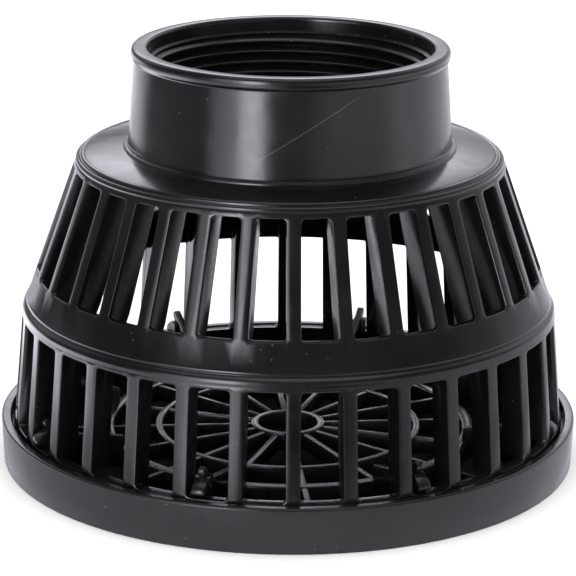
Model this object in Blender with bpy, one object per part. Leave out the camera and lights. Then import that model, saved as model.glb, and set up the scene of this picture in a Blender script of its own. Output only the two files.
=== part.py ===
"""Foot valve with a clipped-on strainer base, for a 2-inch female pipe thread.

The valve stands on its base cover, +Z up, with the origin in the middle of the cover's bottom edge.
Everything is in metres. A profile is a closed list of (radius, height) points that is turned about Z.
"""

import math

import bmesh
import bpy
from mathutils import Matrix, Vector

MM = 0.001

# ---- driving dimensions -------------------------------------------------------------------------
FIT_GAP = 0.3 * MM              # gap between faces that touch on the real valve
TURN_STEPS = 64                 # facets round the moulding
RING_STEPS = 48                 # facets round the valve's large rings
SMALL_STEPS = 20                # facets round the small turned pieces
SCREW_STEPS = 10

THREAD_MAJOR = 59.614 / 2 * MM  # G2 pipe thread, radius at the root of the female thread
THREAD_MINOR = 56.656 / 2 * MM  # radius at its crests
THREAD_PITCH = 25.4 / 11 * MM
THREAD_TURNS = 7
THREAD_TOP = 87.2 * MM

BAR_COUNT = 32
BAR_HALF = 1.45 * MM            # half the width of a bar
BAR_PHASE = math.radians(1.12)  # the first bar stands this far past -Y, towards +X
SHOULDER_UNDER_Z = 65.5 * MM
UPPER_SLOT_TOP = 64.92 * MM
UPPER_SLOT_FOOT = 41.88 * MM
LOWER_SLOT_TOP = 32.45 * MM
LOWER_SLOT_FOOT = 9.75 * MM

COVER_RADIUS = 62.5 * MM
COVER_INNER = 60.4 * MM
COVER_TOP = 9.85 * MM
FLOOR_TOP = 6.0 * MM
FLOOR_FOOT = 2.5 * MM
RIB_COUNT = 16
RIB_HALF = 0.65 * MM
RIB_PHASE = math.radians(5.05)
HOOK_EVERY = 2                  # every second rib carries a clip hook
HOOK_FIRST = 1
VANE_HALF = 0.75 * MM
HOOK_HALF = 1.5 * MM

LEDGE_INNER = 25.3 * MM         # bore through the ledge under the thread
LEDGE_TOP = 69.5 * MM

SEAT_Z = 67.5 * MM              # the face that the rubber ring closes on
SEAT_BORE = 18.5 * MM
CARRIER_FLANGE_Z = 61.8 * MM
CARRIER_FLANGE_THICK = 2.4 * MM
CARRIER_RADIUS = 34.6 * MM
GASKET_THICK = 0.7 * MM
SPOKE_COUNT = 4
SPOKE_PHASE = math.radians(45)
SPOKE_HALF = 1.2 * MM
HUB_RADIUS = 6.8 * MM
HUB_BORE = 4.9 * MM
HUB_FOOT_Z = 54.3 * MM
HUB_ROOF_Z = 67.7 * MM
HUB_TOP_Z = 70.7 * MM

SCREW_COUNT = 6
SCREW_PHASE = math.radians(15)
SCREW_CIRCLE = 31.0 * MM
SCREW_SHANK = 1.25 * MM
SCREW_HEAD = 2.35 * MM
SCREW_HEAD_HEIGHT = 1.1 * MM
SCREW_TOP_Z = 70.3 * MM

STEM_RADIUS = 2.0 * MM
BUSH_CLEARANCE = 0.12 * MM
DISC_RADIUS = 21.3 * MM
SEAL_THICK = 2.0 * MM
CLAMP_SCREW_COUNT = 3
CLAMP_SCREW_CIRCLE = 11.8 * MM
CLAMP_SCREW_HOLE = 1.4 * MM
PLATE_THICK = 1.3 * MM
WASHER_RADIUS = 4.6 * MM
WASHER_THICK = 0.8 * MM
NUT_FLATS = 7.0 * MM
NUT_THICK = 2.2 * MM

SPRING_MEAN = 3.6 * MM
SPRING_WIRE = 0.35 * MM         # radius of the wire
SPRING_TURNS = 4.5
SPRING_POINTS_PER_TURN = 14


# ---- helpers ------------------------------------------------------------------------------------
def clear_scene():
    for obj in list(bpy.data.objects):
        bpy.data.objects.remove(obj, do_unlink=True)


def material(name, color, roughness, metallic=0.0):
    """One Principled material; color is linear RGB."""
    mat = bpy.data.materials.new(name)
    mat.use_nodes = True
    shader = mat.node_tree.nodes["Principled BSDF"]
    shader.inputs["Base Color"].default_value = (*color, 1.0)
    shader.inputs["Roughness"].default_value = roughness
    shader.inputs["Metallic"].default_value = metallic
    mat.diffuse_color = (*color, 1.0)
    return mat


def add_object(name, bm, mat=None, sharp_degrees=35.0):
    """Turn a bmesh into a named object with outward faces, smooth where it is round."""
    bmesh.ops.recalc_face_normals(bm, faces=bm.faces)
    mesh = bpy.data.meshes.new(name)
    bm.to_mesh(mesh)
    bm.free()
    mesh.shade_smooth()
    mesh.set_sharp_from_angle(angle=math.radians(sharp_degrees))
    obj = bpy.data.objects.new(name, mesh)
    bpy.context.scene.collection.objects.link(obj)
    if mat is not None:
        mesh.materials.append(mat)
    return obj


def hide_cutter(obj):
    obj.hide_render = True
    obj.display_type = "WIRE"


def turned(bm, profile, steps=TURN_STEPS, phase=0.0):
    """Add a closed (radius, height) profile, turned about Z, to the bmesh."""
    spin = Matrix.Rotation(phase, 3, "Z")
    ring = [bm.verts.new(spin @ Vector((r, 0.0, z))) for r, z in profile]
    edges = [bm.edges.new((ring[i], ring[(i + 1) % len(ring)])) for i in range(len(ring))]
    bmesh.ops.spin(
        bm,
        geom=ring + edges,
        axis=(0.0, 0.0, 1.0),
        cent=(0.0, 0.0, 0.0),
        steps=steps,
        angle=math.tau,
        use_merge=True,
    )
    bmesh.ops.remove_doubles(bm, verts=bm.verts, dist=1e-6)


def turned_object(name, profile, mat=None, steps=TURN_STEPS, phase=0.0):
    bm = bmesh.new()
    turned(bm, profile, steps, phase)
    return add_object(name, bm, mat)


def prism(bm, outline, half_width, azimuth):
    """Add an (radius, height) outline as a flat plate, half_width to each side of its middle plane."""
    spin = Matrix.Rotation(azimuth - math.pi / 2, 3, "Z")
    near = [bm.verts.new(spin @ Vector((r, -half_width, z))) for r, z in outline]
    far = [bm.verts.new(spin @ Vector((r, half_width, z))) for r, z in outline]
    bm.faces.new(near)
    bm.faces.new(list(reversed(far)))
    for i in range(len(outline)):
        j = (i + 1) % len(outline)
        bm.faces.new((near[j], near[i], far[i], far[j]))


def hexagon(bm, across_flats, low, high):
    """Add a six-sided prism that stands on Z."""
    made = bmesh.ops.create_cone(
        bm,
        cap_ends=True,
        segments=6,
        radius1=across_flats / math.sqrt(3.0),
        radius2=across_flats / math.sqrt(3.0),
        depth=high - low,
    )
    bmesh.ops.translate(bm, verts=made["verts"], vec=(0.0, 0.0, (low + high) / 2))


def cut(obj, cutter):
    """Take the cutter out of the object with a Boolean that stays live."""
    modifier = obj.modifiers.new(f"cut_{cutter.name}", "BOOLEAN")
    modifier.operation = "DIFFERENCE"
    modifier.solver = "EXACT"
    modifier.object = cutter
    hide_cutter(cutter)


def join_solids(obj, others, name):
    """Fuse other solids into the object with one Boolean union over a hidden collection."""
    group = bpy.data.collections.new(name)
    bpy.context.scene.collection.children.link(group)
    for other in others:
        bpy.context.scene.collection.objects.unlink(other)
        group.objects.link(other)
        hide_cutter(other)
    modifier = obj.modifiers.new(name, "BOOLEAN")
    modifier.operation = "UNION"
    modifier.solver = "EXACT"
    modifier.operand_type = "COLLECTION"
    modifier.collection = group


def round_places(count, radius, phase=0.0):
    """Evenly spaced places on a circle, counted from -Y towards +X."""
    for k in range(count):
        azimuth = phase + math.tau * k / count
        yield azimuth, Vector((radius * math.sin(azimuth), -radius * math.cos(azimuth), 0.0))


def rod(bm, place, radius, low, high, steps=SCREW_STEPS):
    """Add a plain upright cylinder."""
    made = bmesh.ops.create_cone(
        bm,
        cap_ends=True,
        segments=steps,
        radius1=radius,
        radius2=radius,
        depth=high - low,
    )
    bmesh.ops.translate(bm, verts=made["verts"], vec=place + Vector((0.0, 0.0, (low + high) / 2)))


# ---- materials ----------------------------------------------------------------------------------
def make_materials():
    return {
        "black_pp": material("black_pp", (0.018, 0.018, 0.020), 0.32),
        "rubber": material("rubber", (0.012, 0.012, 0.012), 0.75),
        "acetal": material("acetal", (0.72, 0.71, 0.67), 0.38),
        "stainless": material("stainless", (0.56, 0.56, 0.55), 0.28, 1.0),
    }


# ---- the strainer body --------------------------------------------------------------------------
def body_profile():
    """Neck, shoulder, cage wall and foot ring, closed down the inside along the bars' inner edge."""
    outside = [
        (30.38, 90.12),
        (31.0, 90.4),
        (33.0, 90.4),
        (33.85, 89.4),
        (33.8, 88.6),
        (33.3, 87.8),
        (34.53, 69.8),
        (35.2, 69.4),
        (35.45, 68.8),
        (43.9, 67.75),
        (45.16, 67.31),
        (46.17, 64.92),
        (54.4, 41.88),
        (56.6, 35.5),
        (57.45, 34.7),
        (57.64, 32.45),
        (59.6, 9.75),
        (59.85, 7.0),
        (59.6, 6.3),
    ]
    inside_up = [
        (57.3, 6.3),
        (57.3, 10.2),
        (54.4, 10.2),
        (52.6, 32.9),
        (48.2, 41.88),
        (40.0, 65.5),
        (25.3, 65.5),
        (25.3, 69.5),
        (28.328, 69.5),
    ]
    points = [(r * MM, z * MM) for r, z in outside + inside_up]
    lowest = THREAD_TOP - THREAD_TURNS * THREAD_PITCH
    points.append((THREAD_MINOR, lowest))
    for turn in range(THREAD_TURNS):
        foot = lowest + turn * THREAD_PITCH
        points.append((THREAD_MAJOR, foot + THREAD_PITCH / 2))
        points.append((THREAD_MINOR, foot + THREAD_PITCH))
    points.append((THREAD_MAJOR + 0.3 * MM, THREAD_TOP + 0.5 * MM))
    return points


def bay_cutter():
    """One solid for each bay between two bars: upper slot, lower slot and the pocket between them."""
    outline = [
        (45.0 * MM, LOWER_SLOT_FOOT),
        (64.0 * MM, LOWER_SLOT_FOOT),
        (64.0 * MM, LOWER_SLOT_TOP),
        (56.25 * MM, LOWER_SLOT_TOP),
        (52.85 * MM, UPPER_SLOT_FOOT),
        (60.0 * MM, UPPER_SLOT_FOOT),
        (60.0 * MM, UPPER_SLOT_TOP),
        (36.5 * MM, UPPER_SLOT_TOP),
    ]
    bm = bmesh.new()
    pitch = math.tau / BAR_COUNT
    for bay in range(BAR_COUNT):
        start = BAR_PHASE + bay * pitch
        sides = []
        for r, z in outline:
            inset = math.asin(BAR_HALF / r)
            for azimuth in (start + inset, start + pitch - inset):
                sides.append(bm.verts.new((r * math.sin(azimuth), -r * math.cos(azimuth), z)))
        left = sides[0::2]
        right = sides[1::2]
        bm.faces.new(left)
        bm.faces.new(list(reversed(right)))
        for i in range(len(outline)):
            j = (i + 1) % len(outline)
            bm.faces.new((left[j], left[i], right[i], right[j]))
    return add_object("bay_cutter", bm)


def make_strainer_body(mats):
    phase = BAR_PHASE - math.pi / 2
    body = turned_object("strainer_body", body_profile(), mats["black_pp"], TURN_STEPS, phase)
    cut(body, bay_cutter())
    bm = bmesh.new()
    for _, place in round_places(SCREW_COUNT, SCREW_CIRCLE, SCREW_PHASE):
        rod(bm, place, SCREW_SHANK + FIT_GAP, SHOULDER_UNDER_Z - 1 * MM, SCREW_TOP_Z + FIT_GAP)
    cut(body, add_object("pilot_holes", bm))
    return body


# ---- the base cover -----------------------------------------------------------------------------
def make_base_cover(mats):
    """Outer wall, lattice floor of rings and ribs, and eight clip hooks, fused into one moulding."""
    wall = [
        (COVER_INNER, 0.0),
        (62.15 * MM, 0.0),
        (COVER_RADIUS, 9.2 * MM),
        (62.1 * MM, COVER_TOP),
        (60.8 * MM, COVER_TOP),
        (COVER_INNER, 9.4 * MM),
    ]
    cover = turned_object("base_cover", wall, mats["black_pp"], TURN_STEPS)
    parts = []
    rings = (
        ("cover_ring_centre", 6.5, 8.1, 2.3, 6.2, 32),
        ("cover_ring_middle", 27.5, 29.0, 2.3, 6.15, 48),
        ("cover_ring_outer", 38.2, 40.8, 2.3, 6.15, 48),
        ("cover_ledge", 56.2, 60.9, 3.4, 5.9, TURN_STEPS),
    )
    for name, inner, outer, low, high, steps in rings:
        ring = [
            (inner * MM, low * MM),
            (outer * MM, low * MM),
            (outer * MM, high * MM),
            (inner * MM, high * MM),
        ]
        parts.append(turned_object(name, ring, None, steps))
    rib = [
        (7.3 * MM, FLOOR_FOOT),
        (61.0 * MM, FLOOR_FOOT),
        (61.0 * MM, FLOOR_TOP),
        (7.3 * MM, FLOOR_TOP),
    ]
    vane = [
        (39.6 * MM, 4.0 * MM),
        (56.4 * MM, 4.0 * MM),
        (56.4 * MM, 12.8 * MM),
        (57.8 * MM, 14.3 * MM),
        (57.6 * MM, 15.5 * MM),
        (56.7 * MM, 15.7 * MM),
        (51.4 * MM, 11.7 * MM),
        (39.6 * MM, 9.4 * MM),
    ]
    hook = [
        (55.1 * MM, 4.2 * MM),
        (56.9 * MM, 4.2 * MM),
        (56.9 * MM, 10.15 * MM),
        (59.3 * MM, 10.15 * MM),
        (60.0 * MM, 10.8 * MM),
        (59.7 * MM, 11.8 * MM),
        (57.2 * MM, 13.5 * MM),
        (55.1 * MM, 13.1 * MM),
    ]
    for k, (azimuth, _) in enumerate(round_places(RIB_COUNT, 1.0, RIB_PHASE)):
        bm = bmesh.new()
        prism(bm, rib, RIB_HALF, azimuth)
        parts.append(add_object(f"cover_rib_{k}", bm))
        if k % HOOK_EVERY == HOOK_FIRST:
            bm = bmesh.new()
            prism(bm, vane, VANE_HALF, azimuth)
            parts.append(add_object(f"cover_vane_{k}", bm))
            bm = bmesh.new()
            prism(bm, hook, HOOK_HALF, azimuth)
            parts.append(add_object(f"cover_hook_{k}", bm))
    join_solids(cover, parts, "cover_solids")
    return cover


# ---- the valve carrier and what holds it --------------------------------------------------------
def make_valve_carrier(mats):
    """Flange, seat ring, four spokes and the long hub that guides the stem and houses the spring."""
    flange_top = CARRIER_FLANGE_Z + CARRIER_FLANGE_THICK
    seat = [
        (SEAT_BORE, CARRIER_FLANGE_Z),
        (CARRIER_RADIUS, CARRIER_FLANGE_Z),
        (CARRIER_RADIUS, flange_top),
        (LEDGE_INNER - FIT_GAP, flange_top),
        (LEDGE_INNER - FIT_GAP, 65.8 * MM),
        (20.6 * MM, SEAT_Z),
        (SEAT_BORE, SEAT_Z),
    ]
    carrier = turned_object("valve_carrier", seat, mats["black_pp"], RING_STEPS)
    hub = [
        (HUB_BORE, HUB_FOOT_Z),
        (HUB_RADIUS, HUB_FOOT_Z),
        (HUB_RADIUS, HUB_TOP_Z),
        (3.5 * MM, HUB_TOP_Z),
        (3.5 * MM, HUB_ROOF_Z),
        (HUB_BORE, HUB_ROOF_Z),
    ]
    parts = [turned_object("carrier_hub", hub, None, SMALL_STEPS)]
    spoke = [
        (5.9 * MM, 59.5 * MM),
        (19.6 * MM, 62.6 * MM),
        (19.6 * MM, 65.0 * MM),
        (5.9 * MM, 65.0 * MM),
    ]
    for k, (azimuth, _) in enumerate(round_places(SPOKE_COUNT, 1.0, SPOKE_PHASE)):
        bm = bmesh.new()
        prism(bm, spoke, SPOKE_HALF, azimuth)
        parts.append(add_object(f"carrier_spoke_{k}", bm))
    join_solids(carrier, parts, "carrier_solids")

    clear = FIT_GAP
    countersink = [
        (0.0, CARRIER_FLANGE_Z - clear),
        (SCREW_HEAD + 2 * clear, CARRIER_FLANGE_Z - clear),
        (SCREW_SHANK + clear, CARRIER_FLANGE_Z + SCREW_HEAD_HEIGHT + clear),
        (SCREW_SHANK + clear, flange_top + 1 * MM),
        (0.0, flange_top + 1 * MM),
    ]
    bm = bmesh.new()
    for _, place in round_places(SCREW_COUNT, SCREW_CIRCLE, SCREW_PHASE):
        one = bmesh.new()
        turned(one, countersink, SCREW_STEPS)
        bmesh.ops.translate(one, verts=one.verts, vec=place)
        scratch = bpy.data.meshes.new("countersink")
        one.to_mesh(scratch)
        one.free()
        bm.from_mesh(scratch)
        bpy.data.meshes.remove(scratch)
    cut(carrier, add_object("carrier_screw_holes", bm))
    return carrier


def make_carrier_gasket(mats):
    low = CARRIER_FLANGE_Z + CARRIER_FLANGE_THICK + FIT_GAP
    ring = [
        (LEDGE_INNER + 0.2 * MM, low),
        (CARRIER_RADIUS - 0.3 * MM, low),
        (CARRIER_RADIUS - 0.3 * MM, low + GASKET_THICK),
        (LEDGE_INNER + 0.2 * MM, low + GASKET_THICK),
    ]
    gasket = turned_object("carrier_gasket", ring, mats["rubber"], RING_STEPS)
    bm = bmesh.new()
    for _, place in round_places(SCREW_COUNT, SCREW_CIRCLE, SCREW_PHASE):
        rod(bm, place, SCREW_SHANK + FIT_GAP, low - 1 * MM, low + GASKET_THICK + 1 * MM)
    cut(gasket, add_object("gasket_holes", bm))
    return gasket


def make_carrier_screws(mats):
    """Six countersunk thread-forming screws, heads down, driven up into the neck."""
    profile = [
        (0.0, 0.0),
        (SCREW_HEAD, 0.0),
        (SCREW_SHANK, SCREW_HEAD_HEIGHT),
        (SCREW_SHANK, SCREW_TOP_Z - CARRIER_FLANGE_Z - 1.0 * MM),
        (0.5 * MM, SCREW_TOP_Z - CARRIER_FLANGE_Z),
        (0.0, SCREW_TOP_Z - CARRIER_FLANGE_Z),
    ]
    places = round_places(SCREW_COUNT, SCREW_CIRCLE, SCREW_PHASE)
    for k, (_, place) in enumerate(places):
        screw = turned_object(f"carrier_screw_{k + 1}", profile, mats["stainless"], SCREW_STEPS)
        screw.location = place + Vector((0.0, 0.0, CARRIER_FLANGE_Z))


def make_guide_bush(mats):
    bore = STEM_RADIUS + BUSH_CLEARANCE
    profile = [
        (bore, HUB_ROOF_Z),
        (3.2 * MM, HUB_ROOF_Z),
        (3.2 * MM, HUB_TOP_Z + FIT_GAP),
        (5.2 * MM, HUB_TOP_Z + FIT_GAP),
        (5.2 * MM, HUB_TOP_Z + 1.0 * MM),
        (bore, HUB_TOP_Z + 1.0 * MM),
    ]
    turned_object("guide_bush", profile, mats["acetal"], SMALL_STEPS)


def make_pipe_gasket(mats):
    low = LEDGE_TOP + FIT_GAP
    profile = [
        (25.7 * MM, low),
        (28.0 * MM, low),
        (28.0 * MM, low + 1.1 * MM),
        (25.7 * MM, low + 1.1 * MM),
    ]
    turned_object("pipe_gasket", profile, mats["rubber"], RING_STEPS)


# ---- the poppet, which slides on the valve's axis -----------------------------------------------
def place_on_axis(axis, obj):
    """Hang a moving piece on the poppet's axis, keeping its place."""
    obj.parent = axis
    obj.matrix_parent_inverse = axis.matrix_world.inverted()


def make_poppet(mats):
    axis = bpy.data.objects.new("poppet_axis", None)
    axis.location = (0.0, 0.0, SEAT_Z)
    bpy.context.scene.collection.objects.link(axis)
    bpy.context.view_layer.update()

    seal_low = SEAT_Z + FIT_GAP
    seal_high = seal_low + SEAL_THICK
    disc_low = seal_high + FIT_GAP
    roof = HUB_TOP_Z + 2.0 * MM
    disc_profile = [
        (7.8 * MM, seal_low),
        (15.1 * MM, seal_low),
        (15.1 * MM, disc_low),
        (DISC_RADIUS, disc_low),
        (DISC_RADIUS, disc_low + 1.8 * MM),
        (11.2 * MM, disc_low + 2.8 * MM),
        (9.6 * MM, roof + 2.2 * MM),
        (8.8 * MM, roof + 2.6 * MM),
        (STEM_RADIUS + FIT_GAP, roof + 2.6 * MM),
        (STEM_RADIUS + FIT_GAP, roof),
        (7.4 * MM, roof),
        (7.8 * MM, roof - 0.5 * MM),
    ]
    disc = turned_object("poppet_disc", disc_profile, mats["black_pp"], RING_STEPS)

    seal_profile = [
        (15.4 * MM, seal_low),
        (21.0 * MM, seal_low),
        (21.0 * MM, seal_high),
        (15.4 * MM, seal_high),
    ]
    seal = turned_object("poppet_seal", seal_profile, mats["rubber"], RING_STEPS)

    plate_low = SEAT_Z - PLATE_THICK
    plate_profile = [
        (8.4 * MM, plate_low),
        (17.5 * MM, plate_low),
        (17.9 * MM, plate_low + 0.5 * MM),
        (17.9 * MM, SEAT_Z),
        (8.4 * MM, SEAT_Z),
    ]
    plate = turned_object("seal_clamp_plate", plate_profile, mats["black_pp"], RING_STEPS)

    screw_high = seal_high + 1.4 * MM
    hole = bmesh.new()
    places = list(round_places(CLAMP_SCREW_COUNT, CLAMP_SCREW_CIRCLE))
    for _, place in places:
        rod(hole, place, CLAMP_SCREW_HOLE, plate_low - 1 * MM, screw_high + FIT_GAP)
    holes = add_object("clamp_screw_holes", hole)
    cut(disc, holes)
    cut(plate, holes)

    length = screw_high - plate_low
    screw_profile = [
        (0.0, -1.0 * MM),
        (1.9 * MM, -1.0 * MM),
        (2.0 * MM, -FIT_GAP),
        (1.1 * MM, -FIT_GAP),
        (1.1 * MM, length - 0.6 * MM),
        (0.5 * MM, length),
        (0.0, length),
    ]
    moving = [disc, seal, plate]
    for k, (_, place) in enumerate(places):
        screw = turned_object(f"clamp_screw_{k + 1}", screw_profile, mats["stainless"], SCREW_STEPS)
        screw.location = place + Vector((0.0, 0.0, plate_low))
        moving.append(screw)

    washer_low = roof + 2.6 * MM + FIT_GAP
    head_seal = [
        (STEM_RADIUS + FIT_GAP, washer_low),
        (WASHER_RADIUS, washer_low),
        (WASHER_RADIUS, washer_low + WASHER_THICK),
        (STEM_RADIUS + FIT_GAP, washer_low + WASHER_THICK),
    ]
    moving.append(turned_object("stem_head_seal", head_seal, mats["rubber"], SMALL_STEPS))

    nut_low = HUB_FOOT_Z - 0.7 * MM
    nut_high = nut_low + NUT_THICK
    head_low = washer_low + WASHER_THICK + FIT_GAP
    stem_profile = [
        (0.0, nut_low - 0.6 * MM),
        (STEM_RADIUS - 0.4 * MM, nut_low - 0.6 * MM),
        (STEM_RADIUS, nut_low - 0.2 * MM),
        (STEM_RADIUS, head_low),
        (3.9 * MM, head_low),
        (4.0 * MM, head_low + 0.4 * MM),
        (4.0 * MM, head_low + 1.6 * MM),
        (3.2 * MM, head_low + 2.2 * MM),
        (0.0, head_low + 2.2 * MM),
    ]
    moving.append(turned_object("stem", stem_profile, mats["stainless"], SMALL_STEPS))

    spring_washer = [
        (STEM_RADIUS + FIT_GAP, nut_high + FIT_GAP),
        (WASHER_RADIUS, nut_high + FIT_GAP),
        (WASHER_RADIUS, nut_high + FIT_GAP + WASHER_THICK),
        (STEM_RADIUS + FIT_GAP, nut_high + FIT_GAP + WASHER_THICK),
    ]
    moving.append(turned_object("spring_washer", spring_washer, mats["stainless"], SMALL_STEPS))

    bm = bmesh.new()
    hexagon(bm, NUT_FLATS, nut_low, nut_high)
    nut = add_object("stem_lock_nut", bm, mats["stainless"], 20.0)
    bore = bmesh.new()
    rod(bore, Vector(), STEM_RADIUS + FIT_GAP, nut_low - 1 * MM, nut_high + 1 * MM, SMALL_STEPS)
    cut(nut, add_object("nut_bore", bore))
    moving.append(nut)

    make_return_spring(mats, nut_high + 2 * FIT_GAP + WASHER_THICK, HUB_ROOF_Z - FIT_GAP)
    for obj in moving:
        place_on_axis(axis, obj)


def make_return_spring(mats, low, high):
    """A round-wire compression spring, as a curve with a bevel along a computed coil."""
    low += SPRING_WIRE
    high -= SPRING_WIRE
    count = int(SPRING_TURNS * SPRING_POINTS_PER_TURN) + 1
    curve = bpy.data.curves.new("return_spring", "CURVE")
    curve.dimensions = "3D"
    curve.bevel_depth = SPRING_WIRE
    curve.bevel_resolution = 1
    curve.use_fill_caps = True
    spline = curve.splines.new("POLY")
    spline.points.add(count - 1)
    for i in range(count):
        angle = math.tau * SPRING_TURNS * i / (count - 1)
        height = low + (high - low) * i / (count - 1)
        x = SPRING_MEAN * math.cos(angle)
        y = SPRING_MEAN * math.sin(angle)
        spline.points[i].co = (x, y, height, 1.0)
    spring = bpy.data.objects.new("return_spring", curve)
    curve.materials.append(mats["stainless"])
    bpy.context.scene.collection.objects.link(spring)


def main():
    clear_scene()
    mats = make_materials()
    make_strainer_body(mats)
    make_base_cover(mats)
    make_valve_carrier(mats)
    make_carrier_gasket(mats)
    make_carrier_screws(mats)
    make_guide_bush(mats)
    make_pipe_gasket(mats)
    make_poppet(mats)


main()
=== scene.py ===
# %% [markdown]
# # A foot valve with a clipped-on strainer base
#
# A foot valve stands at the lower end of a suction pipe. Its cage keeps stones out, and a poppet inside
# the neck shuts when the pump stops, so that the pipe stays full. Nearly all of it is moulded in black
# polypropylene. The CAD model is loaded as a fixed frame, and every piece is then remade finely around it.

# %% Load the frame
import math

import bpy
from mathutils import Matrix, Vector


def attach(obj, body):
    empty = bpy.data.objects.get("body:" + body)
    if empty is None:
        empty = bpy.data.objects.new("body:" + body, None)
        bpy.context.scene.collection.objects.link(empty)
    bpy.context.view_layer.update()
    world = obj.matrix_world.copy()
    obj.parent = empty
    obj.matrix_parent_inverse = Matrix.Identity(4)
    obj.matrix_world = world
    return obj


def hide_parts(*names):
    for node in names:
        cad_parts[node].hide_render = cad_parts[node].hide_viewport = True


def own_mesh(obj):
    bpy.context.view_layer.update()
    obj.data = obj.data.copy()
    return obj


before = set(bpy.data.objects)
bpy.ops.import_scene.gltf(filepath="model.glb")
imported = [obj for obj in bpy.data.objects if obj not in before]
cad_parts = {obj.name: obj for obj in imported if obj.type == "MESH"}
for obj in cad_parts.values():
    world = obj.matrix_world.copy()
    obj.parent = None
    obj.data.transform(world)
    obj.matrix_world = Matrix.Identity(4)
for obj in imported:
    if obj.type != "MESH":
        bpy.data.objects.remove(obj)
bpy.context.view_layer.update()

MM = 0.001
SAME_PLACE = 0.001 * MM      # points of an outline this close are one point
HOUSING = "housing"
POPPET = "poppet"

# %% [markdown]
# ## Small helpers
#
# An operator acts on whatever is selected, so each helper first makes one object the only selected one,
# and then selects vertices, edges or faces by where they lie. This is what a person does with box select.


# %% Helpers for selecting and for editing
def lone(obj):
    """Make one object the only selected and the active one."""
    bpy.ops.object.select_all(action="DESELECT")
    obj.select_set(True)
    bpy.context.view_layer.objects.active = obj


def pick(obj, kind, test):
    """In edit mode, select the vertices, edges or faces whose middle passes the test; give their count."""
    bpy.ops.mesh.select_mode(type=kind)
    bpy.ops.mesh.select_all(action="DESELECT")
    bpy.ops.object.mode_set(mode="OBJECT")
    mesh = obj.data
    items = {"VERT": mesh.vertices, "EDGE": mesh.edges, "FACE": mesh.polygons}[kind]
    count = 0
    for item in items:
        if kind == "VERT":
            middle = item.co
        else:
            corners = [mesh.vertices[i].co for i in item.vertices]
            middle = sum(corners, Vector()) / len(corners)
        item.select = bool(test(middle, item))
        count += item.select
    bpy.ops.object.mode_set(mode="EDIT")
    return count


def radius_of(point):
    return math.hypot(point.x, point.y)


def turn(obj, angle):
    """Turn a piece round Z and bake the turn into its mesh."""
    lone(obj)
    obj.rotation_euler.z = angle
    bpy.ops.object.transform_apply(rotation=True)


def join_to(first, *others):
    """Join the other pieces into the first one."""
    lone(first)
    for obj in others:
        obj.select_set(True)
    bpy.ops.object.join()


def drop(*objects):
    """Delete pieces that were only models or tools."""
    for obj in objects:
        lone(obj)
        bpy.ops.object.delete()


def close_up(distance=2 * SAME_PLACE):
    """In edit mode, merge doubled vertices and turn all faces outwards."""
    bpy.ops.mesh.select_mode(type="VERT")
    bpy.ops.mesh.select_all(action="SELECT")
    bpy.ops.mesh.remove_doubles(threshold=distance)
    bpy.ops.mesh.normals_make_consistent(inside=False)


def finish_piece(obj, name, body, slot, material, *nodes, smooth=40.0):
    """Leave edit mode, apply the place, shade, name, paint, and hang the piece on its body."""
    if obj.mode == "EDIT":
        bpy.ops.object.mode_set(mode="OBJECT")
    lone(obj)
    bpy.ops.object.transform_apply(location=True, rotation=True, scale=True)
    bpy.ops.object.shade_smooth_by_angle(angle=math.radians(smooth))
    obj.name = name
    obj.data.name = name
    obj.data.materials.clear()
    obj.data.materials.append(material)
    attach(obj, body)
    if nodes:
        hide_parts(*nodes)
    print(f"{name}: {len(obj.data.polygons)} faces")
    return obj


# %% [markdown]
# ## Drawing a profile
#
# Round pieces are turned, like on a lathe. A tiny plane is merged to one vertex, that vertex is extruded
# from point to point along half of the section, and Spin sweeps the outline round the axis. A profile is
# a list of (radius, height) points in millimetres; arc() gives the points of its rounded corners.


# %% Profile helpers
def arc(centre_r, centre_z, radius, start, end, steps=4):
    """Points of a round corner, with angles in degrees from +radius towards +Z."""
    points = []
    for i in range(steps + 1):
        angle = math.radians(start + (end - start) * i / steps)
        points.append((centre_r + radius * math.cos(angle), centre_z + radius * math.sin(angle)))
    return points


def draw_profile(points, closed=True):
    """Draw the outline in the XZ plane and leave it selected, in edit mode."""
    bpy.ops.object.select_all(action="DESELECT")
    bpy.ops.mesh.primitive_plane_add(size=0.1 * MM, location=(0.0, 0.0, 0.0))
    obj = bpy.context.object
    bpy.ops.object.mode_set(mode="EDIT")
    bpy.ops.mesh.select_mode(type="VERT")
    bpy.ops.mesh.select_all(action="SELECT")
    bpy.ops.mesh.merge(type="CENTER")
    bpy.ops.transform.translate(value=(points[0][0] * MM, 0.0, points[0][1] * MM))
    route = [*points, points[0]] if closed else points
    for (r0, z0), (r1, z1) in zip(route, route[1:]):
        step = ((r1 - r0) * MM, 0.0, (z1 - z0) * MM)
        bpy.ops.mesh.extrude_vertices_move(TRANSFORM_OT_translate={"value": step})
    bpy.ops.mesh.select_all(action="SELECT")
    bpy.ops.mesh.remove_doubles(threshold=SAME_PLACE)
    bpy.ops.mesh.select_all(action="SELECT")
    return obj


def sweep(steps, angle):
    """Spin what is selected round the Z axis, counter-clockwise from above."""
    bpy.ops.mesh.spin(steps=steps, angle=angle, center=(0, 0, 0), axis=(0, 0, -1))


def turn_round(points, steps=96):
    """An outline turned all the way round Z; one that starts and ends on the axis isn't closed along it."""
    on_axis = points[0][0] == 0.0 and points[-1][0] == 0.0
    obj = draw_profile(points, closed=not on_axis)
    sweep(steps, math.tau)
    close_up()
    bpy.ops.object.mode_set(mode="OBJECT")
    return obj


# %% [markdown]
# ## The strainer body: one bar and half of its gap
#
# Neck, shoulder and cage are one injection moulding. The cage has 32 thin bars, so one bar with half of a
# gap is drawn, mirrored and repeated. The bar's section is swept one step from the bar's middle to its flat
# side; the section of the gap, which is only a top edge, a thin band and a bottom ring, is swept on from
# there to the middle of the gap. The side of the bar is then filled in between the two.

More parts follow.
